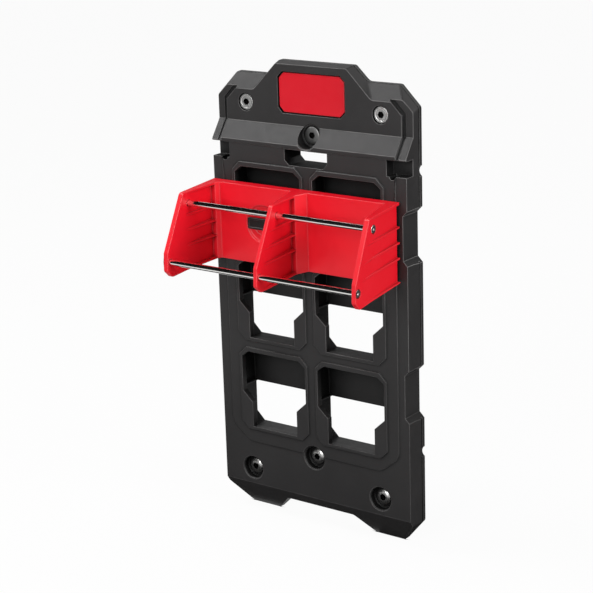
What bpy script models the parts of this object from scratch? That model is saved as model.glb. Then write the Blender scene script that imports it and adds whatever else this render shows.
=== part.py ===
"""A pliers rack hooked on the top row of its wall plate.

Units are metres. +Z is up, the wall is the plane Y = 0 and the front faces -Y. The origin is
on the wall at the middle of the plate. A depth is a distance out from the wall, or from the
back of the rack, so it runs along -Y. A height on the plate starts at its bottom edge, and a
rise on the rack starts at the sill that the rack rests on.
"""
import math

import bmesh
import bpy

# Fits and cuts
CLEARANCE = 0.0003
OVERRUN = 0.004
TURN_STEPS = 24

# Wall plate: two columns of pockets, their rows, and what surrounds them
ROWS = 3
COLUMN_PITCH = 0.104
ROW_PITCH = 0.1063
PAD_WIDTH = 0.094
PAD_HEIGHT = 0.098
SIDE_MARGIN = 0.028
FOOT_MARGIN = 0.1004
NOSE_GAP = 0.0205
NOSE_HEIGHT = 0.0037
LEDGE_FALL = 0.0183
PANEL_TALL = 0.0521
HAT_HEIGHT = 0.0159

# Wall plate: outline at the wall
HAT_WIDTH = 0.096
HAT_FOOT_RUN = 0.0169
CORNER_RUN = 0.0219
CORNER_DROP = 0.022
FOOT_CORNER_RUN = 0.0225
FOOT_CORNER_HEIGHT = 0.027
FOOT_WIDTH = 0.0377
ARCH_RUN = 0.0214
ARCH_HEIGHT = 0.021
OUTLINE_RADIUS = 0.004
HAT_FOOT_RADIUS = 0.008

# Wall plate: how the outline draws in from the lip to the upper panel
HAT_TOP_DRAFT = 0.0025
HAT_SIDE_DRAFT = 0.002
HAT_FOOT_SPREAD = 0.0114
SHOULDER_FALL = 0.017
SHOULDER_SPREAD = 0.0104
CORNER_FALL = 0.0048
SIDE_DRAFT = 0.0008

# Wall plate: depths from the wall
PLATE_DEPTH = 0.029
LIP_THICKNESS = 0.005
SEAM_WIDTH = 0.0016
SEAM_INSET = 0.0015
PANEL_DEPTH = 0.0173
FIELD_STAND = 0.001
PAD_STAND = 0.0023
NOSE_STAND = 0.0013
ROOT_DEPTH = 0.022

# Wall plate: ledge and nose between the upper panel and the field
NOSE_INSET = 0.001
STRIP_WIDTH = 0.0135
PANEL_CORNER_CUT = 0.0128
STRIP_SETBACK = 0.0018
PANEL_GROOVE_WIDTH = 0.0042
PANEL_GROOVE_SETBACK = 0.0034

# Wall plate: field, and the facet that slopes back to the feet
FIELD_INSET = 0.014
FIELD_MARGIN = 0.0149
FIELD_CORNER_RUN = 0.024
FIELD_CORNER_RISE = 0.019
FIELD_CORNER_RADIUS = 0.015
FACET_HEIGHT = 0.0335
FACET_FOOT_DEPTH = 0.0066

# Wall plate: slots under the nose
CENTRE_SLOT_WIDTH = 0.0554
CENTRE_SLOT_HEIGHT = 0.017
CENTRE_SLOT_CHAMFER = 0.0055
CENTRE_SLOT_DROP = 0.0015
SIDE_SLOT_LENGTH = 0.0245
SIDE_SLOT_HEIGHT = 0.017
SIDE_SLOT_DROP = 0.0005
SIDE_SLOT_DEPTH = 0.0165
DIP_INSET = 0.0176
DIP_RADIUS = 0.0035

# Wall plate: notches in the lip, and long recesses in the right side
NOTCH_WIDTH = 0.0115
NOTCH_DEPTH = 0.0032
UPPER_NOTCH_DROP = 0.0146
LOWER_NOTCH_HEIGHT = 0.1072
SIDE_RECESS_DEPTH = 0.006
UPPER_RECESS_DROP = 0.0522
UPPER_RECESS_LENGTH = 0.060
LOWER_RECESS_HEIGHT = 0.1459
LOWER_RECESS_LENGTH = 0.060

# Wall plate: pockets for the hooks, with places measured from each pad's middle
PAD_CORNER = 0.0095
MOUTH_WIDTH = 0.0874
MOUTH_TOP = 0.0438
MOUTH_CHAMFER_RUN = 0.0085
MOUTH_CHAMFER_RISE = 0.0065
TAB_TOP_DROP = 0.0039
TAB_SLOPE_HEIGHT = 0.0121
NECK_WIDTH = 0.0612
SILL_DROP = 0.0452
TAB_THICKNESS = 0.0073
GUIDE_WIDTH = 0.089
GUIDE_TOP = 0.0446
GUIDE_END_DROP = 0.0004
GUIDE_LIP = 0.002
CAVITY_WIDTH = 0.0966
CAVITY_BOTTOM_DROP = 0.0484
CAVITY_CORNER = 0.010
POCKET_FLOOR = 0.0025

# Label recess and label plate
LABEL_RISE = 0.0351
LABEL_RECESS_WIDTH = 0.087
LABEL_RECESS_TALL = 0.045
LABEL_CORNER = 0.006
LABEL_RECESS_DEPTH = 0.004
LABEL_GAP = 0.0012
LABEL_THICKNESS = 0.0025

# Mounting screws and washers
TOP_SCREW_INSET = 0.0395
TOP_SCREW_RISE = 0.0208
LEDGE_SCREW_DROP = 0.0085
FOOT_SCREW_INSET = 0.0397
FOOT_SCREW_HEIGHT = 0.0525
LOW_SCREW_HEIGHT = 0.082
SCREW_HOLE_RADIUS = 0.0044
SCREW_SHANK_RADIUS = 0.004
TOP_RECESS_RADIUS = 0.0098
TOP_RECESS_DEPTH = 0.0037
WASHER_RADIUS = 0.0086
WASHER_THICKNESS = 0.0022
WASHER_BORE_RADIUS = 0.0046
WASHER_SINK_RADIUS = 0.0066
SUNK_HEAD_RADIUS = 0.0062
SUNK_HEAD_HEIGHT = 0.0022
COUNTERBORE_RADIUS = 0.013
COUNTERBORE_CHAMFER = 0.0012
COUNTERBORE_STEP_RADIUS = 0.0112
COUNTERBORE_STEP = 0.0018
LOW_SEAT_DEPTH = 0.0195
LEDGE_SEAT_DEPTH = 0.0145
HEAD_RADIUS = 0.0092
HEAD_RIM = 0.0012
HEAD_FLAT_RADIUS = 0.0047
LOW_HEAD_HEIGHT = 0.0042
LEDGE_HEAD_HEIGHT = 0.0022
HEAD_STEPS = 5
SOCKET_WIDTH = 0.0062
SOCKET_DEPTH = 0.0034

# Rack: side profile, as depths from its back and rises from the sill
RACK_DEPTH = 0.0929
RACK_TOP_RISE = 0.0721
RACK_TOP_FALL = 0.0044
RACK_TOP_DEPTH = 0.0614
KNEE_DEPTH = 0.0919
KNEE_RISE = 0.0067
TOE_DROP = 0.0128
HEEL_DEPTH = 0.085
HEEL_DROP = 0.0205
BACK_DROP = 0.0143
PROFILE_RADIUS = 0.004

# Rack: back and walls in plan, as places across the rack from its middle; the walls keep one
# thickness ahead of the kink and thicken behind it
BACK_THICKNESS = 0.0099
KINK_DEPTH = 0.059
LEFT_SIDE = 0.1243
LEFT_WALL_FRONT_THICKNESS = 0.0059
LEFT_WALL_BACK_THICKNESS = 0.0118
LEFT_STRIP_WIDTH = 0.0033
LEFT_STRIP_DEPTH = 0.0041
MIDDLE_WALL_LEFT_FRONT = 0.0029
MIDDLE_WALL_LEFT_BACK = 0.0124
MIDDLE_WALL_RIGHT = 0.0017
MIDDLE_STRIP_WIDTH = 0.007
MIDDLE_STRIP_DEPTH = 0.0125
RIGHT_SIDE_FRONT = 0.126
RIGHT_SIDE_KINK = 0.1227
RIGHT_SIDE_BACK = 0.119
RIGHT_WALL_FRONT_THICKNESS = 0.0054
RIGHT_WALL_KINK_THICKNESS = 0.0062
RIGHT_WALL_BACK_THICKNESS = 0.0123

# Rack: ribs on the walls' right faces
RIB_THICKNESS = 0.0021
RIB_SLOPE = 0.0045
RIB_LOW_RISE = 0.0077
RIB_PITCH = 0.0167
FLANGE_THICKNESS = 0.0032
FRONT_RIM = 0.004
INNER_RIB_DEPTH = 0.0058
OUTER_RIB_DEPTH = 0.0038

# Rack: hollows moulded from behind
SKIN_THICKNESS = 0.003
CORE_EDGE = 0.004
CORE_RIB = 0.0022
CORE_LOW_DROP = 0.0105
CORE_HIGH_RISE = 0.0685
CORE_CELLS = 6
HOOK_BLOCK_TOP = 0.051
WALL_CORE_REACH = 0.018
WALL_CORE_TIP = 0.0008

# Rack: hooks
HOOK_WIDTH = 0.0868
HOOK_BOTTOM = 0.0032
HOOK_TOP = 0.0452
HOOK_THICKNESS = 0.007
HOOK_LEAD = 0.007
HOOK_TOP_CUT_RUN = 0.003
HOOK_TOP_CUT_RISE = 0.0025

# Rods and their screws
ROD_RADIUS = 0.00325
UPPER_ROD_DEPTH = 0.0525
UPPER_ROD_RISE = 0.0552
LOWER_ROD_DEPTH = 0.0871
LOWER_ROD_DROP = 0.0032
ROD_CHAMFER = 0.0005
ROD_HOLE_DEPTH = 0.010
ROD_SCREW_HEAD_RADIUS = 0.0043
ROD_SCREW_HEAD_HEIGHT = 0.0017
ROD_SCREW_RADIUS = 0.0017
ROD_SCREW_LENGTH = 0.009
ROD_SCREW_SOCKET = 0.0028
ROD_SCREW_SOCKET_DEPTH = 0.001
ROD_RECESS_RADIUS = 0.0049
ROD_RECESS_DEPTH = 0.0026
ROD_WEB = 0.0017

# Latch: tab in the left bay, bolt behind the left hook
LATCH_TRAVEL = 0.0045
DISH_RADIUS = 0.0213
DISH_FLOOR_RADIUS = 0.0193
DISH_DEPTH = 0.002
DISH_STEP_RADIUS = 0.0133
DISH_STEP = 0.0008
DISH_SIDES = 48
TAB_LENGTH = 0.0319
TAB_HEIGHT = 0.0126
TAB_RISE = 0.030
TAB_PLATE = 0.004
TAB_CORNER = 0.0015
TAB_FRAME = 0.0021
TAB_HOLLOW = 0.0007
SHANK_WIDTH = 0.006
SHANK_HEIGHT = 0.005
BOLT_THICKNESS = 0.003
BOLT_PLATE_WIDTH = 0.018
BOLT_PLATE_BOTTOM = 0.026
BOLT_ARM_BOTTOM = 0.0375
BOLT_TOP = 0.0435
BOLT_TIP_GAP = 0.0003
CHANNEL_DEPTH = 0.0035
NOTCH_RISE = 0.0012
COVER_THICKNESS = 0.0018
COVER_BOTTOM = 0.0175
COVER_LEFT = 0.020
COVER_RIGHT = 0.0425
COVER_SCREW_LEFT = 0.016
COVER_SCREW_RIGHT = 0.022
COVER_SCREW_RISE = 0.030
COVER_SCREW_RADIUS = 0.0012
COVER_SCREW_HEAD_RADIUS = 0.0026
COVER_SCREW_HEAD_HEIGHT = 0.0016
COVER_SCREW_LENGTH = 0.005
LINK_SCREW_RADIUS = 0.0011
LINK_SCREW_HEAD_RADIUS = 0.0024
LINK_SCREW_HEAD_HEIGHT = 0.0015
LINK_SCREW_LENGTH = 0.008
SPRING_THICKNESS = 0.0005
SPRING_HALF_LENGTH = 0.0105
SPRING_FOOT = 0.005
SPRING_SEAT_RISE = 0.0205
SPRING_WIDTH = 0.0026

# Colours as (red, green, blue), then roughness and metallic
BLACK_PLASTIC = ((0.032, 0.031, 0.031), 0.55, 0.0)
RED_PLASTIC = ((0.62, 0.012, 0.022), 0.42, 0.0)
LABEL_RED = ((0.60, 0.010, 0.016), 0.35, 0.0)
LATCH_BLACK = ((0.012, 0.012, 0.012), 0.6, 0.0)
BRIGHT_STEEL = ((0.56, 0.55, 0.54), 0.28, 1.0)
GREY_STEEL = ((0.20, 0.20, 0.20), 0.45, 1.0)
SPRING_STEEL = ((0.42, 0.42, 0.43), 0.35, 1.0)


# Heights and widths that follow from the sizes above
NOSE_BOTTOM = FOOT_MARGIN + PAD_HEIGHT + (ROWS - 1) * ROW_PITCH + NOSE_GAP
LEDGE_TOP = NOSE_BOTTOM + NOSE_HEIGHT + LEDGE_FALL
SHOULDER_TOP = LEDGE_TOP + PANEL_TALL
PLATE_TOP = SHOULDER_TOP + HAT_HEIGHT
PLATE_SIDE = COLUMN_PITCH / 2 + PAD_WIDTH / 2 + SIDE_MARGIN
PANEL_SIDE = PLATE_SIDE - STRIP_WIDTH
LEFT_WALL_FRONT = LEFT_SIDE - LEFT_WALL_FRONT_THICKNESS
LEFT_WALL_BACK = LEFT_SIDE - LEFT_WALL_BACK_THICKNESS
RIGHT_WALL_KINK = RIGHT_SIDE_KINK - RIGHT_WALL_KINK_THICKNESS
RIGHT_WALL_BACK = RIGHT_SIDE_BACK - RIGHT_WALL_BACK_THICKNESS


def clear_scene():
    """Remove every object that the file opened with."""
    for item in list(bpy.data.objects):
        bpy.data.objects.remove(item)


def material(name, look):
    """A Principled material from a colour, a roughness and a metallic value."""
    colour, roughness, metallic = look
    made = bpy.data.materials.new(name)
    made.use_nodes = True
    shader = made.node_tree.nodes["Principled BSDF"]
    shader.inputs["Base Color"].default_value = (*colour, 1.0)
    shader.inputs["Roughness"].default_value = roughness
    shader.inputs["Metallic"].default_value = metallic
    return made


def plate_z(height):
    """World Z of a height above the plate's bottom edge."""
    return height - PLATE_TOP / 2


def mirrored(right_half):
    """A closed outline from its right half, listed top to bottom."""
    return right_half + [(-across, up) for across, up in reversed(right_half)]


def rectangle(left, right, low, high):
    """A four-cornered outline."""
    return [(left, high), (right, high), (right, low), (left, low)]


def on_line(depth, near, far):
    """Place across at a depth, on the line through two (depth, place) points."""
    share = (depth - near[0]) / (far[0] - near[0])
    return near[1] + share * (far[1] - near[1])


def octagon(centre, width, tall, corner_run, corner_rise):
    """A rectangle with its corners cut, around a centre."""
    across, up = centre
    half, rise = width / 2, tall / 2
    quarter = [(half - corner_run, rise), (half, rise - corner_rise)]
    right = quarter + [(x, -z) for x, z in reversed(quarter)]
    return [(across + x, up + z) for x, z in mirrored(right)]


def circle(centre, radius, steps=TURN_STEPS):
    """A round outline of short straight sides."""
    across, up = centre
    turns = [2 * math.pi * step / steps for step in range(steps)]
    return [(across + radius * math.cos(turn), up + radius * math.sin(turn)) for turn in turns]


def unit(start, end):
    """Direction from one outline point to another."""
    length = math.dist(start, end)
    return (end[0] - start[0]) / length, (end[1] - start[1]) / length


def rounded(points, radii, steps=4):
    """An outline with each corner of a given radius turned into an arc."""
    result = []
    for index, corner in enumerate(points):
        radius = radii[index]
        back = unit(corner, points[index - 1])
        ahead = unit(corner, points[(index + 1) % len(points)])
        if radius == 0:
            result.append(corner)
            continue
        half_angle = math.acos(back[0] * ahead[0] + back[1] * ahead[1]) / 2
        middle = unit((0, 0), (back[0] + ahead[0], back[1] + ahead[1]))
        reach = radius / math.sin(half_angle)
        centre = (corner[0] + middle[0] * reach, corner[1] + middle[1] * reach)
        tangent = radius / math.tan(half_angle)
        start = (corner[0] + back[0] * tangent, corner[1] + back[1] * tangent)
        end = (corner[0] + ahead[0] * tangent, corner[1] + ahead[1] * tangent)
        first = math.atan2(start[1] - centre[1], start[0] - centre[0])
        last = math.atan2(end[1] - centre[1], end[0] - centre[0])
        sweep = (last - first + math.pi) % (2 * math.pi) - math.pi
        for step in range(steps + 1):
            turn = first + sweep * step / steps
            result.append((centre[0] + radius * math.cos(turn), centre[1] + radius * math.sin(turn)))
    return result


def inset(points, distance):
    """A clockwise outline with every side moved inward by a distance."""
    result = []
    for index, corner in enumerate(points):
        before = unit(points[index - 1], corner)
        after = unit(corner, points[(index + 1) % len(points)])
        inward = (before[1] + after[1], -before[0] - after[0])
        scale = 1 + before[0] * after[0] + before[1] * after[1]
        result.append((corner[0] + inward[0] * distance / scale,
                       corner[1] + inward[1] * distance / scale))
    return result


def add_rings(bm, rings):
    """Add a closed body that passes through rings of equally many points."""
    loops = [[bm.verts.new(point) for point in ring] for ring in rings]
    count = len(loops[0])
    for low, high in zip(loops, loops[1:]):
        for index in range(count):
            following = (index + 1) % count
            bm.faces.new((low[index], low[following], high[following], high[index]))
    bm.faces.new(reversed(loops[0]))
    bm.faces.new(loops[-1])


def add_prism(bm, outline, axis, start, end):
    """Add an outline swept along X, Y or Z, with its points on the other two axes."""
    place = {
        "X": lambda u, v, along: (along, u, v),
        "Y": lambda u, v, along: (u, along, v),
        "Z": lambda u, v, along: (u, v, along),
    }[axis]
    add_rings(bm, [[place(u, v, along) for u, v in outline] for along in (start, end)])


def add_turned(bm, profile, origin, axis, steps=TURN_STEPS):
    """Add a body turned about an axis from (radius, distance) points, tip to tail."""
    x, y, z = origin
    place = {
        "X": lambda a, b, along: (x + along, y + a, z + b),
        "Y": lambda a, b, along: (x + a, y + along, z + b),
    }[axis]
    rings = []
    for radius, along in profile:
        rings.append([place(u, v, along) for u, v in circle((0, 0), radius, steps)])
    add_rings(bm, rings)


def add_tube(bm, profile, origin, axis, steps=TURN_STEPS):
    """Add a ring-shaped body turned from a closed (radius, distance) section."""
    x, y, z = origin
    place = {
        "X": lambda a, b, along: (x + along, y + a, z + b),
        "Y": lambda a, b, along: (x + a, y + along, z + b),
    }[axis]
    loops = []
    for radius, along in profile:
        loops.append([bm.verts.new(place(u, v, along)) for u, v in circle((0, 0), radius, steps)])
    for low, high in zip(loops, loops[1:] + loops[:1]):
        for index in range(steps):
            following = (index + 1) % steps
            bm.faces.new((low[index], low[following], high[following], high[index]))


def make_object(name, bm, look=None, parent=None):
    """Turn a bmesh into an object; one without a look is a tool for Booleans."""
    bmesh.ops.recalc_face_normals(bm, faces=bm.faces)
    mesh = bpy.data.meshes.new(name)
    bm.to_mesh(mesh)
    bm.free()
    made = bpy.data.objects.new(name, mesh)
    bpy.context.scene.collection.objects.link(made)
    made.parent = parent
    if look is None:
        made.hide_render = True
        made.display_type = "WIRE"
    else:
        mesh.materials.append(material(name, look))
        mesh.shade_smooth()
        mesh.set_sharp_from_angle(angle=math.radians(35))
    return made


def combine(body, operation, name, fill):
    """Add or cut away, by a Boolean, what the function fill puts in a bmesh."""
    bm = bmesh.new()
    fill(bm)
    tool = make_object(name, bm, parent=body.parent)
    modifier = body.modifiers.new(name, "BOOLEAN")
    modifier.operation = operation
    modifier.solver = "EXACT"
    modifier.object = tool


def empty(name, location, parent=None):
    """An empty that carries the pieces of one moving body."""
    made = bpy.data.objects.new(name, None)
    made.location = location
    made.parent = parent
    bpy.context.scene.collection.objects.link(made)
    return made


def plate_outline(share):
    """The plate's outline: share 0 is at the lip and share 1 at the upper panel."""
    top = plate_z(PLATE_TOP)
    bottom = plate_z(0)
    shoulder = plate_z(SHOULDER_TOP) - share * SHOULDER_FALL
    corner = plate_z(SHOULDER_TOP - CORNER_DROP) - share * CORNER_FALL
    side = PLATE_SIDE - share * SIDE_DRAFT
    foot = PLATE_SIDE - FOOT_CORNER_RUN
    right = [
        (HAT_WIDTH / 2 - share * HAT_SIDE_DRAFT, top - share * HAT_TOP_DRAFT),
        (HAT_WIDTH / 2 + HAT_FOOT_RUN + share * HAT_FOOT_SPREAD, shoulder),
        (PLATE_SIDE - CORNER_RUN + share * SHOULDER_SPREAD, shoulder),
        (side, corner),
        (side, plate_z(FOOT_CORNER_HEIGHT)),
        (foot, bottom),
        (foot - FOOT_WIDTH, bottom),
        (foot - FOOT_WIDTH - ARCH_RUN, bottom + ARCH_HEIGHT),
    ]
    small = OUTLINE_RADIUS
    radii = [small, HAT_FOOT_RADIUS, small, small, small, small, small, small]
    return rounded(mirrored(right), radii + radii[::-1], steps=3)


def plate_blank(bm):
    """The plate's body: lip, seam line and the block that draws in towards the front."""
    lip = plate_outline(0)
    seam = inset(lip, SEAM_INSET)
    front = plate_outline(1)
    seam_front = LIP_THICKNESS + SEAM_WIDTH
    stations = [(0, lip), (LIP_THICKNESS, lip), (LIP_THICKNESS, seam), (seam_front, seam),
                (seam_front, lip), (PANEL_DEPTH, front), (PLATE_DEPTH, front)]
    add_rings(bm, [[(x, -depth, z) for x, z in outline] for depth, outline in stations])


def row_z(row):
    """World Z of the middle of a row's pads, counted up from row 0."""
    return plate_z(FOOT_MARGIN + PAD_HEIGHT / 2 + row * ROW_PITCH)


def pocket_centres():
    """Middle of each pad as (x, z), top row first."""
    for row in reversed(range(ROWS)):
        for side in (-1, 1):
            yield side * COLUMN_PITCH / 2, row_z(row)


def add_field(bm):
    """The raised field that carries the pockets."""
    half = PLATE_SIDE - FIELD_INSET
    bottom = plate_z(FOOT_MARGIN - FIELD_MARGIN)
    top = plate_z(NOSE_BOTTOM + NOSE_HEIGHT / 2)
    right = [(half, top), (half, bottom + FIELD_CORNER_RISE), (half - FIELD_CORNER_RUN, bottom)]
    soft = FIELD_CORNER_RADIUS
    outline = rounded(mirrored(right), [0, soft, soft, soft, soft, 0])
    add_prism(bm, outline, "Y", -ROOT_DEPTH, -PLATE_DEPTH - FIELD_STAND)


def add_nose(bm):
    """The nose that runs across under the ledge."""
    half = PLATE_SIDE - NOSE_INSET
    outline = rectangle(-half, half, plate_z(NOSE_BOTTOM), plate_z(LEDGE_TOP))
    add_prism(bm, outline, "Y", -ROOT_DEPTH, -PLATE_DEPTH - NOSE_STAND)


def add_pads(bm):
    """The raised eight-sided pad round each pocket."""
    for centre in pocket_centres():
        outline = octagon(centre, PAD_WIDTH, PAD_HEIGHT, PAD_CORNER, PAD_CORNER)
        add_prism(bm, outline, "Y", -ROOT_DEPTH, -PLATE_DEPTH - PAD_STAND)


def ledge_profile(setback):
    """Section in (y, z) of the air above the ledge, moved back by a setback."""
    top = plate_z(PLATE_TOP) + OVERRUN
    ledge = plate_z(LEDGE_TOP)
    slope = LEDGE_FALL / (PLATE_DEPTH + NOSE_STAND - PANEL_DEPTH)
    near = PANEL_DEPTH - setback
    far = PLATE_DEPTH + NOSE_STAND + OVERRUN
    return [(-near, top), (-near, ledge), (-far, ledge - slope * (far - near)), (-far, top)]


def cut_above_ledge(bm):
    """Clear the front of the upper panel and slope the ledge."""
    reach = PLATE_SIDE + OVERRUN
    add_prism(bm, ledge_profile(0), "X", -reach, reach)


def cut_strips(bm):
    """Set the outer strips back from the panel, down the sides and the ledge."""
    reach = PLATE_SIDE + OVERRUN
    for side in (-1, 1):
        ends = (side * PANEL_SIDE, side * reach)
        add_prism(bm, ledge_profile(STRIP_SETBACK), "X", min(ends), max(ends))


def cut_corners(bm):
    """Set the strips back across the panel's top corners too."""
    reach = PLATE_SIDE + OVERRUN
    top = plate_z(PLATE_TOP)
    level = plate_z(SHOULDER_TOP) - SHOULDER_FALL
    cut = PANEL_CORNER_CUT
    outline = [(PANEL_SIDE - cut, top), (reach, top), (reach, level - cut - OVERRUN),
               (PANEL_SIDE + PANEL_GROOVE_WIDTH / 2, level - cut - OVERRUN),
               (PANEL_SIDE, level - cut), (PANEL_SIDE - cut, level)]
    for side in (-1, 1):
        turned = [(side * x, z) for x, z in outline]
        add_prism(bm, turned, "Y", -PANEL_DEPTH + STRIP_SETBACK, -PLATE_DEPTH)


def cut_panel_grooves(bm):
    """The narrow grooves between the panel and its strips, down over the ledge."""
    high = plate_z(SHOULDER_TOP) - SHOULDER_FALL - PANEL_CORNER_CUT
    for side in (-1, 1):
        inner = side * (PANEL_SIDE + CLEARANCE)
        outer = side * (PANEL_SIDE + PANEL_GROOVE_WIDTH)
        profile = ledge_profile(PANEL_GROOVE_SETBACK)
        profile[0] = (profile[0][0], high)
        profile[3] = (profile[3][0], high)
        add_prism(bm, profile, "X", min(inner, outer), max(inner, outer))


def cut_corner_grooves(bm):
    """The same grooves, on round the panel's cut corners to its top edge."""
    level = plate_z(SHOULDER_TOP) - SHOULDER_FALL
    cut, width = PANEL_CORNER_CUT, PANEL_GROOVE_WIDTH
    near = PANEL_SIDE + CLEARANCE
    outline = [(near, level - cut), (near, level - cut - width / 2),
               (near - CLEARANCE + width, level - cut - width / 2),
               (near - CLEARANCE + width, level - cut + width / 2),
               (near - cut + width, level + width / 2), (near - cut - width / 2, level + width / 2)]
    for side in (-1, 1):
        turned = [(side * x, z) for x, z in outline]
        add_prism(bm, turned, "Y", -PANEL_DEPTH + PANEL_GROOVE_SETBACK, -PLATE_DEPTH)


def cut_facet(bm):
    """Slope the front back to the thin feet."""
    reach = PLATE_SIDE + OVERRUN
    high = plate_z(FACET_HEIGHT)
    low = plate_z(0)
    front = PLATE_DEPTH
    slope = (front - FACET_FOOT_DEPTH) / FACET_HEIGHT
    outline = [(-front - OVERRUN, high + OVERRUN / slope), (-front - OVERRUN, low - OVERRUN),
               (-FACET_FOOT_DEPTH + slope * OVERRUN, low - OVERRUN)]
    add_prism(bm, outline, "X", -reach, reach)


def cut_centre_slot(bm):
    """The slot under the middle of the nose, right through."""
    high = plate_z(NOSE_BOTTOM) - CENTRE_SLOT_DROP
    low = high - CENTRE_SLOT_HEIGHT
    half = CENTRE_SLOT_WIDTH / 2
    chamfer = CENTRE_SLOT_CHAMFER
    right = [(half, high), (half, low + chamfer), (half - chamfer, low)]
    add_prism(bm, mirrored(right), "Y", OVERRUN, -PLATE_DEPTH - OVERRUN)


def cut_side_slots(bm):
    """The blind slots under the nose's ends, open at the plate's sides."""
    high = plate_z(NOSE_BOTTOM) - SIDE_SLOT_DROP
    low = high - SIDE_SLOT_HEIGHT
    reach = PLATE_SIDE + OVERRUN
    inner = PLATE_SIDE - SIDE_SLOT_LENGTH
    dip = PLATE_SIDE - DIP_INSET
    lower_arc = [point for point in circle((dip, low), DIP_RADIUS, 16) if point[1] < low]
    floor = [(dip + DIP_RADIUS, low)] + list(reversed(lower_arc)) + [(dip - DIP_RADIUS, low)]
    outline = [(inner, high), (reach, high), (reach, low)] + floor + [(inner, low)]
    for side in (-1, 1):
        turned = [(side * x, z) for x, z in outline]
        add_prism(bm, turned, "Y", -SIDE_SLOT_DEPTH, -PLATE_DEPTH - OVERRUN)


def cut_notches(bm):
    """The round notches in the lip, down both sides."""
    radius = (NOTCH_WIDTH ** 2 / 4 + NOTCH_DEPTH ** 2) / (2 * NOTCH_DEPTH)
    for side in (-1, 1):
        for height in (NOSE_BOTTOM - UPPER_NOTCH_DROP, LOWER_NOTCH_HEIGHT):
            centre = (side * (PLATE_SIDE - NOTCH_DEPTH + radius), plate_z(height))
            add_prism(bm, circle(centre, radius), "Y", OVERRUN, -LIP_THICKNESS - SEAM_WIDTH / 2)


def cut_side_recesses(bm):
    """The long recesses down the right side."""
    inner, outer = PLATE_SIDE - SIDE_RECESS_DEPTH, PLATE_SIDE + OVERRUN
    upper = NOSE_BOTTOM - UPPER_RECESS_DROP - UPPER_RECESS_LENGTH
    recesses = ((upper, UPPER_RECESS_LENGTH), (LOWER_RECESS_HEIGHT, LOWER_RECESS_LENGTH))
    for height, length in recesses:
        low, deep = plate_z(height), SIDE_RECESS_DEPTH
        high = low + length
        outline = [(outer, high + OVERRUN), (inner, high - deep),
                   (inner, low + deep), (outer, low - OVERRUN)]
        add_prism(bm, outline, "Y", OVERRUN, -PLATE_DEPTH - OVERRUN)


def cut_mouths(bm):
    """The front opening of each pocket, narrowed below by its two tabs."""
    wide, neck = MOUTH_WIDTH / 2, NECK_WIDTH / 2
    for x, z in pocket_centres():
        right = [(wide - MOUTH_CHAMFER_RUN, MOUTH_TOP),
                 (wide, MOUTH_TOP - MOUTH_CHAMFER_RISE), (wide, -TAB_TOP_DROP),
                 (neck, -TAB_TOP_DROP - TAB_SLOPE_HEIGHT), (neck, -SILL_DROP)]
        outline = [(x + across, z + up) for across, up in mirrored(right)]
        inside = PLATE_DEPTH + PAD_STAND - TAB_THICKNESS - CLEARANCE
        add_prism(bm, outline, "Y", -inside, -PLATE_DEPTH - PAD_STAND - OVERRUN)


def cut_guides(bm):
    """The upper half of each pocket, with a thin floor and a short lip at either lower end."""
    wide, narrow = CAVITY_WIDTH / 2, GUIDE_WIDTH / 2
    lip_top = GUIDE_LIP - GUIDE_END_DROP
    inside = PLATE_DEPTH + PAD_STAND - TAB_THICKNESS
    for x, z in pocket_centres():
        right = [(wide, GUIDE_TOP), (wide, lip_top), (narrow, lip_top),
                 (narrow, -GUIDE_END_DROP - OVERRUN)]
        outline = [(x + across, z + up) for across, up in mirrored(right)]
        add_prism(bm, outline, "Y", -POCKET_FLOOR, -inside)


def cut_cavities(bm):
    """The lower half of each pocket behind its tabs, right through the back."""
    half, corner = CAVITY_WIDTH / 2, CAVITY_CORNER
    for x, z in pocket_centres():
        right = [(half, -GUIDE_END_DROP), (half, corner - CAVITY_BOTTOM_DROP),
                 (half - corner, -CAVITY_BOTTOM_DROP)]
        outline = [(x + across, z + up) for across, up in mirrored(right)]
        inside = PLATE_DEPTH + PAD_STAND - TAB_THICKNESS
        add_prism(bm, outline, "Y", OVERRUN, -inside)


def cut_label_recess(bm):
    """The eight-sided recess for the label plate."""
    centre = (0, plate_z(LEDGE_TOP + LABEL_RISE))
    outline = octagon(centre, LABEL_RECESS_WIDTH, LABEL_RECESS_TALL, LABEL_CORNER, LABEL_CORNER)
    add_prism(bm, outline, "Y", -PANEL_DEPTH + LABEL_RECESS_DEPTH, -PANEL_DEPTH - OVERRUN)


def top_screws():
    """Middle of each top screw, as a name, x and z."""
    for name, side in (("left", -1), ("right", 1)):
        yield name, side * (PLATE_SIDE - TOP_SCREW_INSET), plate_z(LEDGE_TOP + TOP_SCREW_RISE)


def washer_front():
    """Depth of the front faces of the top washers and of the screw heads sunk in them."""
    return PANEL_DEPTH - TOP_RECESS_DEPTH + CLEARANCE + WASHER_THICKNESS


def round_head_screws():
    """Each round-headed screw as a name, x, z, seat depth and the depth its hole starts at."""
    front = PLATE_DEPTH
    ledge = plate_z(LEDGE_TOP - LEDGE_SCREW_DROP)
    yield "ledge", 0, ledge, LEDGE_SEAT_DEPTH, front + NOSE_STAND
    yield "low_middle", 0, plate_z(LOW_SCREW_HEIGHT), LOW_SEAT_DEPTH, front
    for name, side in (("foot_left", -1), ("foot_right", 1)):
        across = side * (PLATE_SIDE - FOOT_SCREW_INSET)
        yield name, across, plate_z(FOOT_SCREW_HEIGHT), LOW_SEAT_DEPTH, front


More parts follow.
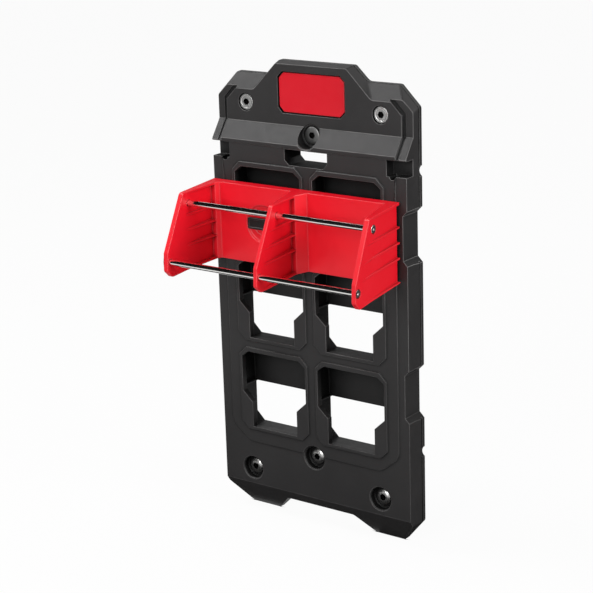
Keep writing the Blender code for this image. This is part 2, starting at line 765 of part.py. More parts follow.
def cut_screw_holes(bm):
    """The stepped holes of all the mounting screws."""
    hole = SCREW_HOLE_RADIUS
    floor = PANEL_DEPTH - TOP_RECESS_DEPTH
    for _, x, z in top_screws():
        profile = [(hole, OVERRUN), (hole, -floor), (TOP_RECESS_RADIUS, -floor),
                   (TOP_RECESS_RADIUS, -PANEL_DEPTH - OVERRUN)]
        add_turned(bm, profile, (x, 0, z), "Y")
    for _, x, z, seat, front in round_head_screws():
        step, wide = COUNTERBORE_STEP_RADIUS, COUNTERBORE_RADIUS
        flare = COUNTERBORE_CHAMFER + OVERRUN
        profile = [(hole, OVERRUN), (hole, -seat), (step, -seat),
                   (step, -seat - COUNTERBORE_STEP), (wide, -seat - COUNTERBORE_STEP),
                   (wide, -front + COUNTERBORE_CHAMFER), (wide + flare, -front - OVERRUN)]
        add_turned(bm, profile, (x, 0, z), "Y")


def build_wall_plate():
    """The moulded wall plate."""
    bm = bmesh.new()
    plate_blank(bm)
    plate = make_object("wall_plate", bm, BLACK_PLASTIC)
    combine(plate, "UNION", "tool_field", add_field)
    combine(plate, "UNION", "tool_nose", add_nose)
    combine(plate, "UNION", "tool_pads", add_pads)
    combine(plate, "DIFFERENCE", "tool_ledge", cut_above_ledge)
    combine(plate, "DIFFERENCE", "tool_strips", cut_strips)
    combine(plate, "DIFFERENCE", "tool_corners", cut_corners)
    combine(plate, "DIFFERENCE", "tool_panel_grooves", cut_panel_grooves)
    combine(plate, "DIFFERENCE", "tool_corner_grooves", cut_corner_grooves)
    combine(plate, "DIFFERENCE", "tool_facet", cut_facet)
    combine(plate, "DIFFERENCE", "tool_centre_slot", cut_centre_slot)
    combine(plate, "DIFFERENCE", "tool_side_slots", cut_side_slots)
    combine(plate, "DIFFERENCE", "tool_notches", cut_notches)
    combine(plate, "DIFFERENCE", "tool_side_recesses", cut_side_recesses)
    combine(plate, "DIFFERENCE", "tool_cavities", cut_cavities)
    combine(plate, "DIFFERENCE", "tool_guides", cut_guides)
    combine(plate, "DIFFERENCE", "tool_mouths", cut_mouths)
    combine(plate, "DIFFERENCE", "tool_label_recess", cut_label_recess)
    combine(plate, "DIFFERENCE", "tool_screw_holes", cut_screw_holes)


def build_label_plate():
    """The bare plate that fills the label recess."""
    width = LABEL_RECESS_WIDTH - 2 * LABEL_GAP
    tall = LABEL_RECESS_TALL - 2 * LABEL_GAP
    outline = octagon((0, plate_z(LEDGE_TOP + LABEL_RISE)), width, tall, LABEL_CORNER, LABEL_CORNER)
    rear = PANEL_DEPTH - LABEL_RECESS_DEPTH + CLEARANCE
    bm = bmesh.new()
    add_prism(bm, outline, "Y", -rear, -rear - LABEL_THICKNESS)
    make_object("label_plate", bm, LABEL_RED)


def build_top_screws():
    """The sunk-head screws and washers of the upper panel."""
    front = washer_front()
    rear = front - WASHER_THICKNESS
    for side, x, z in top_screws():
        bm = bmesh.new()
        section = [(WASHER_BORE_RADIUS, -rear), (WASHER_RADIUS, -rear), (WASHER_RADIUS, -front),
                   (WASHER_SINK_RADIUS, -front)]
        add_tube(bm, section, (x, 0, z), "Y")
        make_object(f"top_washer_{side}", bm, GREY_STEEL)
        bm = bmesh.new()
        profile = [(SCREW_SHANK_RADIUS, -CLEARANCE), (SCREW_SHANK_RADIUS, SUNK_HEAD_HEIGHT - front),
                   (SUNK_HEAD_RADIUS, -front)]
        add_turned(bm, profile, (x, 0, z), "Y")
        screw = make_object(f"top_screw_{side}", bm, GREY_STEEL)
        cut_socket(screw, (x, z), front)


def cut_socket(screw, centre, front):
    """A hexagonal socket in a screw's front face."""
    outline = circle(centre, SOCKET_WIDTH / math.sqrt(3), steps=6)

    def fill(bm):
        add_prism(bm, outline, "Y", -front + SOCKET_DEPTH, -front - OVERRUN)

    combine(screw, "DIFFERENCE", f"tool_{screw.name}", fill)


def build_round_head_screws():
    """The round-headed screws: a flat one in the ledge, domed ones below."""
    last = math.acos(HEAD_FLAT_RADIUS / HEAD_RADIUS)
    for name, x, z, seat, _ in round_head_screws():
        high = LEDGE_HEAD_HEIGHT if name == "ledge" else LOW_HEAD_HEIGHT
        look = GREY_STEEL if name == "ledge" else BRIGHT_STEEL
        under = seat + CLEARANCE
        profile = [(SCREW_SHANK_RADIUS, -CLEARANCE), (SCREW_SHANK_RADIUS, -under),
                   (HEAD_RADIUS, -under)]
        for step in range(HEAD_STEPS + 1):
            turn = last * step / HEAD_STEPS
            swell = (high - HEAD_RIM) * math.sin(turn) / math.sin(last)
            profile.append((HEAD_RADIUS * math.cos(turn), -under - HEAD_RIM - swell))
        bm = bmesh.new()
        add_turned(bm, profile, (x, 0, z), "Y")
        screw = make_object(f"{name}_screw", bm, look)
        cut_socket(screw, (x, z), under + high)


def rack_front_depth(rise):
    """Depth of the rack's sloping front edge at a rise."""
    high = RACK_TOP_RISE - RACK_TOP_FALL
    share = (high - rise) / (high - KNEE_RISE)
    return RACK_TOP_DEPTH + share * (KNEE_DEPTH - RACK_TOP_DEPTH)


def add_side_profile(bm):
    """The rack seen from the side, as wide as the whole rack."""
    points = [(0, -BACK_DROP), (0, RACK_TOP_RISE), (-RACK_TOP_DEPTH, RACK_TOP_RISE - RACK_TOP_FALL),
              (-KNEE_DEPTH, KNEE_RISE), (-RACK_DEPTH, -TOE_DROP), (-HEEL_DEPTH, -HEEL_DROP)]
    soft = PROFILE_RADIUS
    outline = rounded(points, [0, 0, soft, soft, soft, soft])
    add_prism(bm, outline, "X", -LEFT_SIDE, RIGHT_SIDE_FRONT + OVERRUN)


def right_side(depth):
    """Place across the rack of its right side at a depth."""
    if depth > KINK_DEPTH:
        return on_line(depth, (KINK_DEPTH, RIGHT_SIDE_KINK), (RACK_DEPTH, RIGHT_SIDE_FRONT))
    return on_line(depth, (0, RIGHT_SIDE_BACK), (KINK_DEPTH, RIGHT_SIDE_KINK))


def left_wall_face(depth):
    """Place across the rack of the left wall's ribbed face at a depth behind the kink."""
    start = BACK_THICKNESS + LEFT_STRIP_DEPTH
    return on_line(depth, (start, -LEFT_WALL_BACK), (KINK_DEPTH, -LEFT_WALL_FRONT))


def add_plan(bm):
    """The rack seen from above: its back and three walls."""
    beyond = RACK_DEPTH + OVERRUN
    back, kink = -BACK_THICKNESS, -KINK_DEPTH
    outline = [
        (-LEFT_SIDE - OVERRUN, OVERRUN), (right_side(-OVERRUN), OVERRUN), (RIGHT_SIDE_KINK, kink),
        (right_side(beyond), -beyond), (right_side(beyond) - RIGHT_WALL_FRONT_THICKNESS, -beyond),
        (RIGHT_WALL_KINK, kink), (RIGHT_WALL_BACK, back),
        (MIDDLE_WALL_RIGHT + MIDDLE_STRIP_WIDTH, back),
        (MIDDLE_WALL_RIGHT, back - MIDDLE_STRIP_DEPTH), (MIDDLE_WALL_RIGHT, -beyond),
        (-MIDDLE_WALL_LEFT_FRONT, -beyond), (-MIDDLE_WALL_LEFT_FRONT, kink),
        (-MIDDLE_WALL_LEFT_BACK, back), (-LEFT_WALL_BACK + LEFT_STRIP_WIDTH, back),
        (-LEFT_WALL_BACK, back - LEFT_STRIP_DEPTH), (-LEFT_WALL_FRONT, kink),
        (-LEFT_WALL_FRONT, -beyond), (-LEFT_SIDE - OVERRUN, -beyond),
    ]
    add_prism(bm, outline, "Z", -HEEL_DROP - OVERRUN, RACK_TOP_RISE + OVERRUN)


def ribbed_faces():
    """Each ribbed face as its place at a depth, its rear and front depths and its ribs' depth."""
    left_rear, middle_rear = BACK_THICKNESS + LEFT_STRIP_DEPTH, BACK_THICKNESS + MIDDLE_STRIP_DEPTH
    yield left_wall_face, left_rear, KINK_DEPTH, INNER_RIB_DEPTH
    yield (lambda depth: MIDDLE_WALL_RIGHT), middle_rear, HEEL_DEPTH - FRONT_RIM, INNER_RIB_DEPTH
    yield right_side, -OVERRUN, HEEL_DEPTH - FRONT_RIM, OUTER_RIB_DEPTH


def rib_gaps():
    """The gaps between ribs as (low, high) rises, at the front of each."""
    half = RIB_THICKNESS / 2
    ribs = [RIB_LOW_RISE + number * RIB_PITCH for number in range(3)]
    yield FLANGE_THICKNESS - HEEL_DROP, ribs[0] - half
    yield ribs[0] + half, ribs[1] - half
    yield ribs[1] + half, ribs[2] - half
    yield ribs[2] + half, RACK_TOP_RISE - RACK_TOP_FALL - FLANGE_THICKNESS


def cut_rib_gaps(bm):
    """Hollow each ribbed face between its ribs, deeper towards the back."""
    for face, rear, fore, reach in ribbed_faces():
        for low, high in rib_gaps():
            tip = min(rack_front_depth(high) - FRONT_RIM, fore)
            plan = [(face(tip), -tip), (face(rear) - reach, -rear),
                    (face(rear) + OVERRUN, -rear), (face(tip) + OVERRUN, -tip)]
            rings = []
            for level in (low, high):
                ring = []
                for x, y in plan:
                    share = (HEEL_DEPTH + y) / HEEL_DEPTH
                    ring.append((x, y, level + share * RIB_SLOPE))
                rings.append(ring)
            add_rings(bm, rings)


def cut_back_cores(bm):
    """The moulding's hollows behind the back, between its ribs and hook blocks."""
    left_edge = CORE_EDGE - LEFT_SIDE
    right_edge = RIGHT_SIDE_BACK - OUTER_RIB_DEPTH - CORE_EDGE
    floor = -BACK_THICKNESS + SKIN_THICKNESS
    centre, half = COLUMN_PITCH / 2, NECK_WIDTH / 2
    columns = [(left_edge, -centre - half), (-centre + half, -MIDDLE_WALL_LEFT_BACK),
               (MIDDLE_WALL_RIGHT + MIDDLE_STRIP_WIDTH, centre - half),
               (centre + half, RIGHT_WALL_BACK)]
    for left, right in columns:
        outline = rectangle(left + CORE_RIB / 2, right - CORE_RIB / 2,
                            -CORE_LOW_DROP, HOOK_BLOCK_TOP - CORE_RIB)
        add_prism(bm, outline, "Y", OVERRUN, floor)
    cell = (right_edge - left_edge) / CORE_CELLS
    for number in range(CORE_CELLS):
        left = left_edge + number * cell
        outline = rectangle(left + CORE_RIB / 2, left + cell - CORE_RIB / 2,
                            HOOK_BLOCK_TOP, CORE_HIGH_RISE)
        add_prism(bm, outline, "Y", OVERRUN, floor)


def cut_wall_cores(bm):
    """The wedge-shaped hollows that keep the middle and right walls thin."""
    reach, tip, skin = -WALL_CORE_REACH, WALL_CORE_TIP, SKIN_THICKNESS
    middle_left = -MIDDLE_WALL_LEFT_BACK + skin
    middle_right = MIDDLE_WALL_RIGHT - INNER_RIB_DEPTH - skin
    right_left = RIGHT_WALL_BACK + skin
    right_right = RIGHT_SIDE_BACK - OUTER_RIB_DEPTH - skin
    for left, right in ((middle_left, middle_right), (right_left, right_right)):
        outline = [(left, OVERRUN), (right, OVERRUN), (right, reach), (right - tip, reach)]
        add_prism(bm, outline, "Z", -CORE_LOW_DROP + CORE_RIB, HOOK_BLOCK_TOP - 2 * CORE_RIB)


def hook_centres():
    """Place across the rack of each hook."""
    return -COLUMN_PITCH / 2, COLUMN_PITCH / 2


def hook_front():
    """How far behind the rack's back the hooks' front faces are."""
    return TAB_THICKNESS + 2 * CLEARANCE


def add_stems(bm):
    """The blocks that carry the hooks and rest on the pockets' sills."""
    half = NECK_WIDTH / 2 - CLEARANCE
    for centre in hook_centres():
        outline = rectangle(centre - half, centre + half, CLEARANCE, HOOK_TOP - HOOK_TOP_CUT_RISE)
        add_prism(bm, outline, "Y", hook_front() + HOOK_THICKNESS / 2, -BACK_THICKNESS / 2)


def add_hooks(bm):
    """The wide plates that lie behind the pockets' tabs."""
    half = HOOK_WIDTH / 2
    for centre in hook_centres():
        right = [(half - HOOK_TOP_CUT_RUN, HOOK_TOP), (half, HOOK_TOP - HOOK_TOP_CUT_RISE),
                 (half, HOOK_BOTTOM + HOOK_LEAD), (half - HOOK_LEAD, HOOK_BOTTOM)]
        outline = [(centre + across, up) for across, up in mirrored(right)]
        add_prism(bm, outline, "Y", hook_front(), hook_front() + HOOK_THICKNESS)


def rod_places():
    """Each rod as a name, depth and rise."""
    yield "upper", UPPER_ROD_DEPTH, UPPER_ROD_RISE
    yield "lower", LOWER_ROD_DEPTH, -LOWER_ROD_DROP


def screw_seats(depth):
    """Places across the rack of the left and right screw seats of a rod at a depth."""
    return ROD_RECESS_DEPTH - LEFT_SIDE, right_side(depth) - ROD_RECESS_DEPTH


def cut_rod_bores(bm):
    """The bores that the rods lie in."""
    for _, depth, rise in rod_places():
        left, right = screw_seats(depth)
        outline = circle((-depth, rise), ROD_RADIUS + CLEARANCE)
        add_prism(bm, outline, "X", left + ROD_WEB, right - ROD_WEB)


def cut_rod_screw_seats(bm):
    """The screw holes and head recesses at the rods' ends."""
    hole, wide = ROD_SCREW_RADIUS + CLEARANCE, ROD_RECESS_RADIUS
    for _, depth, rise in rod_places():
        for side, seat in zip((-1, 1), screw_seats(depth)):
            inner = seat - side * (ROD_WEB + OVERRUN)
            outer = seat + side * (ROD_RECESS_DEPTH + OVERRUN)
            profile = [(hole, inner), (hole, seat), (wide, seat), (wide, outer)]
            add_turned(bm, profile, (0, -depth, rise), "X")


def latch_centre():
    """Place across the rack of the latch at rest, released."""
    return -COLUMN_PITCH / 2 - LATCH_TRAVEL / 2


def cut_dish(bm):
    """The stepped round finger recess behind the tab."""
    floor = -BACK_THICKNESS + DISH_DEPTH
    step = DISH_STEP_RADIUS
    rim = DISH_RADIUS - DISH_FLOOR_RADIUS
    profile = [(step, floor + DISH_STEP), (step, floor), (DISH_FLOOR_RADIUS, floor),
               (DISH_RADIUS + rim, floor - 2 * DISH_DEPTH)]
    add_turned(bm, profile, (-COLUMN_PITCH / 2, 0, TAB_RISE), "Y", steps=DISH_SIDES)


def channel_floor():
    """How far behind the rack's back the bolt's channel is cut in."""
    return hook_front() + HOOK_THICKNESS - CHANNEL_DEPTH


def cut_shank_slot(bm):
    """The slot that the tab's shank slides in."""
    centre = -COLUMN_PITCH / 2
    half = SHANK_WIDTH / 2 + LATCH_TRAVEL / 2 + CLEARANCE
    rise = SHANK_HEIGHT / 2 + CLEARANCE
    outline = rectangle(centre - half, centre + half, TAB_RISE - rise, TAB_RISE + rise)
    add_prism(bm, outline, "Y", channel_floor() + CLEARANCE, -BACK_THICKNESS)


def cut_channel(bm):
    """The channel in the left hook for the bolt, open to the right, and its spring pocket."""
    centre = -COLUMN_PITCH / 2
    half = BOLT_PLATE_WIDTH / 2 + LATCH_TRAVEL / 2 + CLEARANCE
    low, arm = BOLT_PLATE_BOTTOM - CLEARANCE, BOLT_ARM_BOTTOM - CLEARANCE
    high = BOLT_TOP + CLEARANCE
    end = HOOK_WIDTH / 2 + OVERRUN
    seat = SPRING_SEAT_RISE - CLEARANCE
    outline = [(-half, high), (end, high), (end, arm), (half, arm), (half, seat), (-half, seat)]
    placed = [(centre + x, z) for x, z in outline]
    rear = hook_front() + HOOK_THICKNESS + OVERRUN
    add_prism(bm, placed, "Y", channel_floor(), rear)


def cover_screw_places():
    """Place across and rise of each cover screw."""
    centre = -COLUMN_PITCH / 2
    yield centre - COVER_SCREW_LEFT, COVER_SCREW_RISE
    yield centre + COVER_SCREW_RIGHT, COVER_SCREW_RISE


def cut_cover_screw_holes(bm):
    """The holes in the hook for the cover's screws."""
    rear = hook_front() + HOOK_THICKNESS
    for centre in cover_screw_places():
        outline = circle(centre, COVER_SCREW_RADIUS + CLEARANCE, steps=16)
        add_prism(bm, outline, "Y", rear - COVER_SCREW_LENGTH, rear + OVERRUN)


def build_rack_body(axis):
    """The moulded rack: walls, back, ribs and hooks."""
    bm = bmesh.new()
    add_side_profile(bm)
    rack = make_object("rack_body", bm, RED_PLASTIC, axis)
    combine(rack, "INTERSECT", "tool_plan", add_plan)
    combine(rack, "DIFFERENCE", "tool_back_cores", cut_back_cores)
    combine(rack, "DIFFERENCE", "tool_wall_cores", cut_wall_cores)
    combine(rack, "DIFFERENCE", "tool_rib_gaps", cut_rib_gaps)
    combine(rack, "UNION", "tool_stems", add_stems)
    combine(rack, "UNION", "tool_hooks", add_hooks)
    combine(rack, "DIFFERENCE", "tool_rod_bores", cut_rod_bores)
    combine(rack, "DIFFERENCE", "tool_rod_screw_seats", cut_rod_screw_seats)
    combine(rack, "DIFFERENCE", "tool_dish", cut_dish)
    combine(rack, "DIFFERENCE", "tool_shank_slot", cut_shank_slot)
    combine(rack, "DIFFERENCE", "tool_channel", cut_channel)
    combine(rack, "DIFFERENCE", "tool_cover_screw_holes", cut_cover_screw_holes)


def build_rods(axis):
    """The two steel rods and the screws in their ends."""
    hole = ROD_SCREW_RADIUS + CLEARANCE
    small, chamfer = ROD_RADIUS - ROD_CHAMFER, ROD_CHAMFER
    head, socket = ROD_SCREW_HEAD_RADIUS, ROD_SCREW_SOCKET / 2
    for name, depth, rise in rod_places():
        seats = screw_seats(depth)
        left, right = seats[0] + ROD_WEB + CLEARANCE, seats[1] - ROD_WEB - CLEARANCE
        profile = [(hole, left + ROD_HOLE_DEPTH), (hole, left), (small, left),
                   (ROD_RADIUS, left + chamfer), (ROD_RADIUS, right - chamfer), (small, right),
                   (hole, right), (hole, right - ROD_HOLE_DEPTH)]
        bm = bmesh.new()
        add_turned(bm, profile, (0, -depth, rise), "X")
        make_object(f"{name}_rod", bm, BRIGHT_STEEL, axis)
        for side_name, side, seat in zip(("left", "right"), (-1, 1), seats):
            under = seat + side * CLEARANCE
            top = under + side * ROD_SCREW_HEAD_HEIGHT
            profile = [(ROD_SCREW_RADIUS, under - side * ROD_SCREW_LENGTH),
                       (ROD_SCREW_RADIUS, under), (head, under), (head, top - side * chamfer),
                       (head - chamfer, top), (socket, top),
                       (socket, top - side * ROD_SCREW_SOCKET_DEPTH)]
            bm = bmesh.new()
            add_turned(bm, profile, (0, -depth, rise), "X")
            make_object(f"{name}_rod_screw_{side_name}", bm, GREY_STEEL, axis)


def build_latch_slider(axis):
    """The finger tab in the left bay, framed round a shallow hollow, with its shank."""
    rear = -BACK_THICKNESS + DISH_DEPTH - CLEARANCE
    face = rear - TAB_PLATE
    wide, tall = TAB_LENGTH / 2, TAB_HEIGHT / 2
    ring = rounded(rectangle(-wide, wide, -tall, tall), [TAB_CORNER] * 4)
    bm = bmesh.new()
    add_prism(bm, ring, "Y", rear, face)
    slider = make_object("latch_slider", bm, LATCH_BLACK, axis)

    def hollow(bm):
        across, up = wide - TAB_FRAME, tall - TAB_FRAME
        add_prism(bm, rectangle(-across, across, -up, up), "Y", face + TAB_HOLLOW, face - OVERRUN)

    def shank(bm):
        wide, tall = SHANK_WIDTH / 2, SHANK_HEIGHT / 2
        add_prism(bm, rectangle(-wide, wide, -tall, tall), "Y",
                  channel_floor(), rear - TAB_PLATE / 2)

    def screw_hole(bm):
        outline = circle((0, 0), LINK_SCREW_RADIUS + CLEARANCE, steps=16)
        add_prism(bm, outline, "Y", channel_floor() - LINK_SCREW_LENGTH, channel_floor() + OVERRUN)

    combine(slider, "DIFFERENCE", "tool_tab_hollow", hollow)
    combine(slider, "UNION", "tool_shank", shank)
    combine(slider, "DIFFERENCE", "tool_link_hole", screw_hole)


def build_latch_bolt(axis):
    """The flat bolt behind the left hook, and the screw that joins it to the tab."""
    half = BOLT_PLATE_WIDTH / 2
    low, arm = BOLT_PLATE_BOTTOM - TAB_RISE, BOLT_ARM_BOTTOM - TAB_RISE
    high = BOLT_TOP - TAB_RISE
    tip = HOOK_WIDTH / 2 + LATCH_TRAVEL / 2 - BOLT_TIP_GAP
    front = channel_floor() + CLEARANCE
    step = LATCH_TRAVEL / 2
    notch = NOTCH_RISE
    outline = [(-half, high), (tip, high), (tip, arm), (half, arm), (half, low),
               (step + notch, low), (step, low + notch), (step - notch, low),
               (notch - step, low), (-step, low + notch), (-step - notch, low), (-half, low)]
    bm = bmesh.new()
    add_prism(bm, outline, "Y", front, front + BOLT_THICKNESS)
    bolt = make_object("latch_bolt", bm, SPRING_STEEL, axis)
    rear = front + BOLT_THICKNESS
    sunk = LINK_SCREW_HEAD_HEIGHT

    def screw_hole(bm):
        hole, wide = LINK_SCREW_RADIUS + CLEARANCE, LINK_SCREW_HEAD_RADIUS + CLEARANCE
        profile = [(hole, front - OVERRUN), (hole, rear - sunk), (wide, rear),
                   (wide, rear + OVERRUN)]
        add_turned(bm, profile, (0, 0, 0), "Y", steps=16)

    combine(bolt, "DIFFERENCE", "tool_bolt_hole", screw_hole)
    bm = bmesh.new()
    profile = [(LINK_SCREW_RADIUS, rear - LINK_SCREW_LENGTH), (LINK_SCREW_RADIUS, rear - sunk),
               (LINK_SCREW_HEAD_RADIUS, rear)]
    add_turned(bm, profile, (0, 0, 0), "Y", steps=16)
    make_object("latch_link_screw", bm, GREY_STEEL, axis)


def build_latch_cover(axis):
    """The plate and screws that keep the bolt in its channel."""
    centre = -COLUMN_PITCH / 2
    rear = hook_front() + HOOK_THICKNESS + CLEARANCE
    outline = rectangle(centre - COVER_LEFT, centre + COVER_RIGHT, COVER_BOTTOM,
                        HOOK_TOP - HOOK_TOP_CUT_RISE)
    bm = bmesh.new()
    add_prism(bm, outline, "Y", rear, rear + COVER_THICKNESS)
    cover = make_object("latch_cover", bm, SPRING_STEEL, axis)

    def screw_holes(bm):
        for place in cover_screw_places():
            ring = circle(place, COVER_SCREW_RADIUS + CLEARANCE, steps=16)
            add_prism(bm, ring, "Y", rear - OVERRUN, rear + COVER_THICKNESS + OVERRUN)

    combine(cover, "DIFFERENCE", "tool_cover_holes", screw_holes)
    seat = rear + COVER_THICKNESS + CLEARANCE
    top = seat + COVER_SCREW_HEAD_HEIGHT
    profile = [(COVER_SCREW_RADIUS, seat - COVER_SCREW_LENGTH), (COVER_SCREW_RADIUS, seat),
               (COVER_SCREW_HEAD_RADIUS, seat), (COVER_SCREW_HEAD_RADIUS, top)]
    for side, (x, z) in zip(("left", "right"), cover_screw_places()):
        bm = bmesh.new()
        add_turned(bm, profile, (x, 0, z), "Y", steps=16)
        make_object(f"latch_cover_screw_{side}", bm, GREY_STEEL, axis)


def build_detent_spring(axis):
    """The bent leaf spring whose crest sits under the bolt's notches."""
    centre = -COLUMN_PITCH / 2
    low = SPRING_SEAT_RISE
    crest = BOLT_PLATE_BOTTOM - CLEARANCE
    foot, half, thick = SPRING_FOOT, SPRING_HALF_LENGTH, SPRING_THICKNESS
    outline = [(-half, low), (-foot, low), (0, crest - thick), (foot, low), (half, low),
               (half, low + thick), (foot, low + thick), (0, crest), (-foot, low + thick),
               (-half, low + thick)]
    placed = [(centre + x, z) for x, z in outline]
    front = channel_floor() + CLEARANCE
    bm = bmesh.new()
    add_prism(bm, placed, "Y", front, front + SPRING_WIDTH)
    make_object("detent_spring", bm, SPRING_STEEL, axis)


def build():
    """Make the whole assembly."""
    clear_scene()
    build_wall_plate()
    build_label_plate()
    build_top_screws()
    build_round_head_screws()
    sill = row_z(ROWS - 1) - SILL_DROP
    rack_axis = empty("rack_axis", (0, -PLATE_DEPTH - PAD_STAND - CLEARANCE, sill))
    build_rack_body(rack_axis)
    build_rods(rack_axis)
    build_latch_cover(rack_axis)
    build_detent_spring(rack_axis)
    latch_axis = empty("latch_axis", (latch_centre(), 0, TAB_RISE), rack_axis)
    build_latch_slider(latch_axis)
    build_latch_bolt(latch_axis)


build()
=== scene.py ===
import math

import bmesh
import bpy
from mathutils import Matrix, Vector


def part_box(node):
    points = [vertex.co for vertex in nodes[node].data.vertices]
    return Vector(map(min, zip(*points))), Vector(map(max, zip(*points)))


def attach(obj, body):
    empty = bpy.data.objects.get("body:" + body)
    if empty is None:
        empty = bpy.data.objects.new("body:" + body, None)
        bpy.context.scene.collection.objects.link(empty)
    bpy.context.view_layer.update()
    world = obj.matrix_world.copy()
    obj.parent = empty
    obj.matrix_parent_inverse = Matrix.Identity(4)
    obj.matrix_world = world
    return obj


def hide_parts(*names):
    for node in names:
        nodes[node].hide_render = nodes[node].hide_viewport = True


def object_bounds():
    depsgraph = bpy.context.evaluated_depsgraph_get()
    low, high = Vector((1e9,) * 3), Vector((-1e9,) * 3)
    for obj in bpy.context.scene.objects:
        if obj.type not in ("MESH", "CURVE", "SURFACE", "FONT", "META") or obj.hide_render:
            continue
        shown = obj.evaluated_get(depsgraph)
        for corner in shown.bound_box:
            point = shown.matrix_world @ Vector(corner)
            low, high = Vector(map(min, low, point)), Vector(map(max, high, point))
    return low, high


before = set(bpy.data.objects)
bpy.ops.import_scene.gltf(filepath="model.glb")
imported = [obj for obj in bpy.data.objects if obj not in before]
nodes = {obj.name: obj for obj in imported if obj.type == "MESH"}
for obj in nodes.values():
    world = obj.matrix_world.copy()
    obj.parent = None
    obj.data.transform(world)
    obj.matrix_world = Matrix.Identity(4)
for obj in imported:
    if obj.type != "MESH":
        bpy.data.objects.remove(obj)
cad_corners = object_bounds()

# The camera stands right of the plate and above its middle, as in the photograph. It is rolled
# a little to the left, and its long lens keeps the plate's sides nearly parallel.
CAMERA_PLACE = Vector((1.0667, -1.4918, 0.5393))
CAMERA_TURN = math.radians(36.56)
CAMERA_RISE = math.radians(16.31)
CAMERA_ROLL = math.radians(-1.78)
CAMERA_LENS_MM = 105.56
CAMERA_SENSOR_MM = 36

backward = Vector((math.sin(CAMERA_TURN) * math.cos(CAMERA_RISE),
                   -math.cos(CAMERA_TURN) * math.cos(CAMERA_RISE),
                   math.sin(CAMERA_RISE)))
level_right = Vector((math.cos(CAMERA_TURN), math.sin(CAMERA_TURN), 0))
level_up = backward.cross(level_right)
right = level_right * math.cos(CAMERA_ROLL) + level_up * math.sin(CAMERA_ROLL)
up = backward.cross(right)
lens = bpy.data.cameras.new("camera")
lens.lens = CAMERA_LENS_MM
lens.sensor_width = CAMERA_SENSOR_MM
camera = bpy.data.objects.new("camera", lens)
camera.matrix_world = (Matrix.Translation(CAMERA_PLACE)
                       @ Matrix((right, up, backward)).transposed().to_4x4())
bpy.context.scene.collection.objects.link(camera)
bpy.context.scene.camera = camera
bpy.context.scene.view_settings.view_transform = "Standard"

# The studio: a pale floor under the plate's feet, a white room and soft lamps at the front, at
# the right and overhead. The dark cards, which only reflections see, keep the metal's dark
# bands and the plate's dark sides and hollows, as black cards beside a product do.
FLOOR_SIDE = 20
FLOOR_COLOUR = (0.6, 0.6, 0.6, 1)
FLOOR_WHITENESS = 0.95
FLOOR_SHEEN = 0.8
ROOM_COLOUR = (1, 1, 1, 1)
ROOM_LIGHT = 0.28
CARD_COLOUR = (0.01, 0.01, 0.01, 1)
# Each lamp: its place, what it aims at, its side in metres and its watts.
LAMPS = {
    "front": ((0.1, -2.8, 1.05), (0, 0, 0), 1.3, 54),
    "right": ((2.85, -0.25, 1.05), (0, 0, 0), 1.3, 80),
    "overhead": ((-1.1, -0.55, 1.55), (0, 0, 0.1), 0.6, 25),
}
# Each card: its place, the way it faces, its width and its height in metres. The low card and
# the back card lie just above the floor.
CARDS = {
    "card_left": ((-1.25, -1.2, 0.86), (0, 1, 0), 2.5, 2.2),
    "card_over": ((-1.25, 0.2, 1.96), (0, 0, -1), 2.5, 2.8),
    "card_low": ((-0.45, -0.15, -0.2597), (0, 0, 1), 1.3, 0.28),
    "card_back": ((0.42, 0.24, -0.2597), (0, 0, 1), 0.7, 0.5),
    "card_behind": ((-0.25, 0.30, 0.19), (0, -1, 0), 0.8, 0.28),
    "card_right": ((0.45, 0.42, 0.10), (-0.6, -0.8, 0), 1.5, 0.7),
}


def white_to_viewer(tree, plain_shader, camera_share, mirror_strength):
    """Lays a white glow over a shader: a share of it for the camera, all of it for mirrors."""
    path = tree.nodes.new("ShaderNodeLightPath")
    mirrors = tree.nodes.new("ShaderNodeMath")
    mirrors.operation = "MAXIMUM"
    tree.links.new(path.outputs["Is Glossy Ray"], mirrors.inputs[0])
    tree.links.new(path.outputs["Is Transmission Ray"], mirrors.inputs[1])
    share = tree.nodes.new("ShaderNodeMath")
    share.operation = "MULTIPLY_ADD"
    share.inputs[1].default_value = camera_share
    tree.links.new(path.outputs["Is Camera Ray"], share.inputs[0])
    tree.links.new(mirrors.outputs[0], share.inputs[2])
    strength = tree.nodes.new("ShaderNodeMath")
    strength.operation = "MULTIPLY_ADD"
    strength.inputs[1].default_value = mirror_strength
    tree.links.new(mirrors.outputs[0], strength.inputs[0])
    tree.links.new(path.outputs["Is Camera Ray"], strength.inputs[2])
    glow = tree.nodes.new("ShaderNodeEmission")
    glow.inputs["Color"].default_value = ROOM_COLOUR
    tree.links.new(strength.outputs[0], glow.inputs["Strength"])
    mixed = tree.nodes.new("ShaderNodeMixShader")
    tree.links.new(share.outputs[0], mixed.inputs[0])
    tree.links.new(plain_shader.outputs[0], mixed.inputs[1])
    tree.links.new(glow.outputs[0], mixed.inputs[2])
    return mixed


room = bpy.data.worlds.new("room")
room.use_nodes = True
room_light = room.node_tree.nodes["Background"]
room_light.inputs["Color"].default_value = ROOM_COLOUR
room_light.inputs["Strength"].default_value = ROOM_LIGHT
room_seen = white_to_viewer(room.node_tree, room_light, 1, 1)
room.node_tree.links.new(room_seen.outputs[0],
                         room.node_tree.nodes["World Output"].inputs["Surface"])
bpy.context.scene.world = room


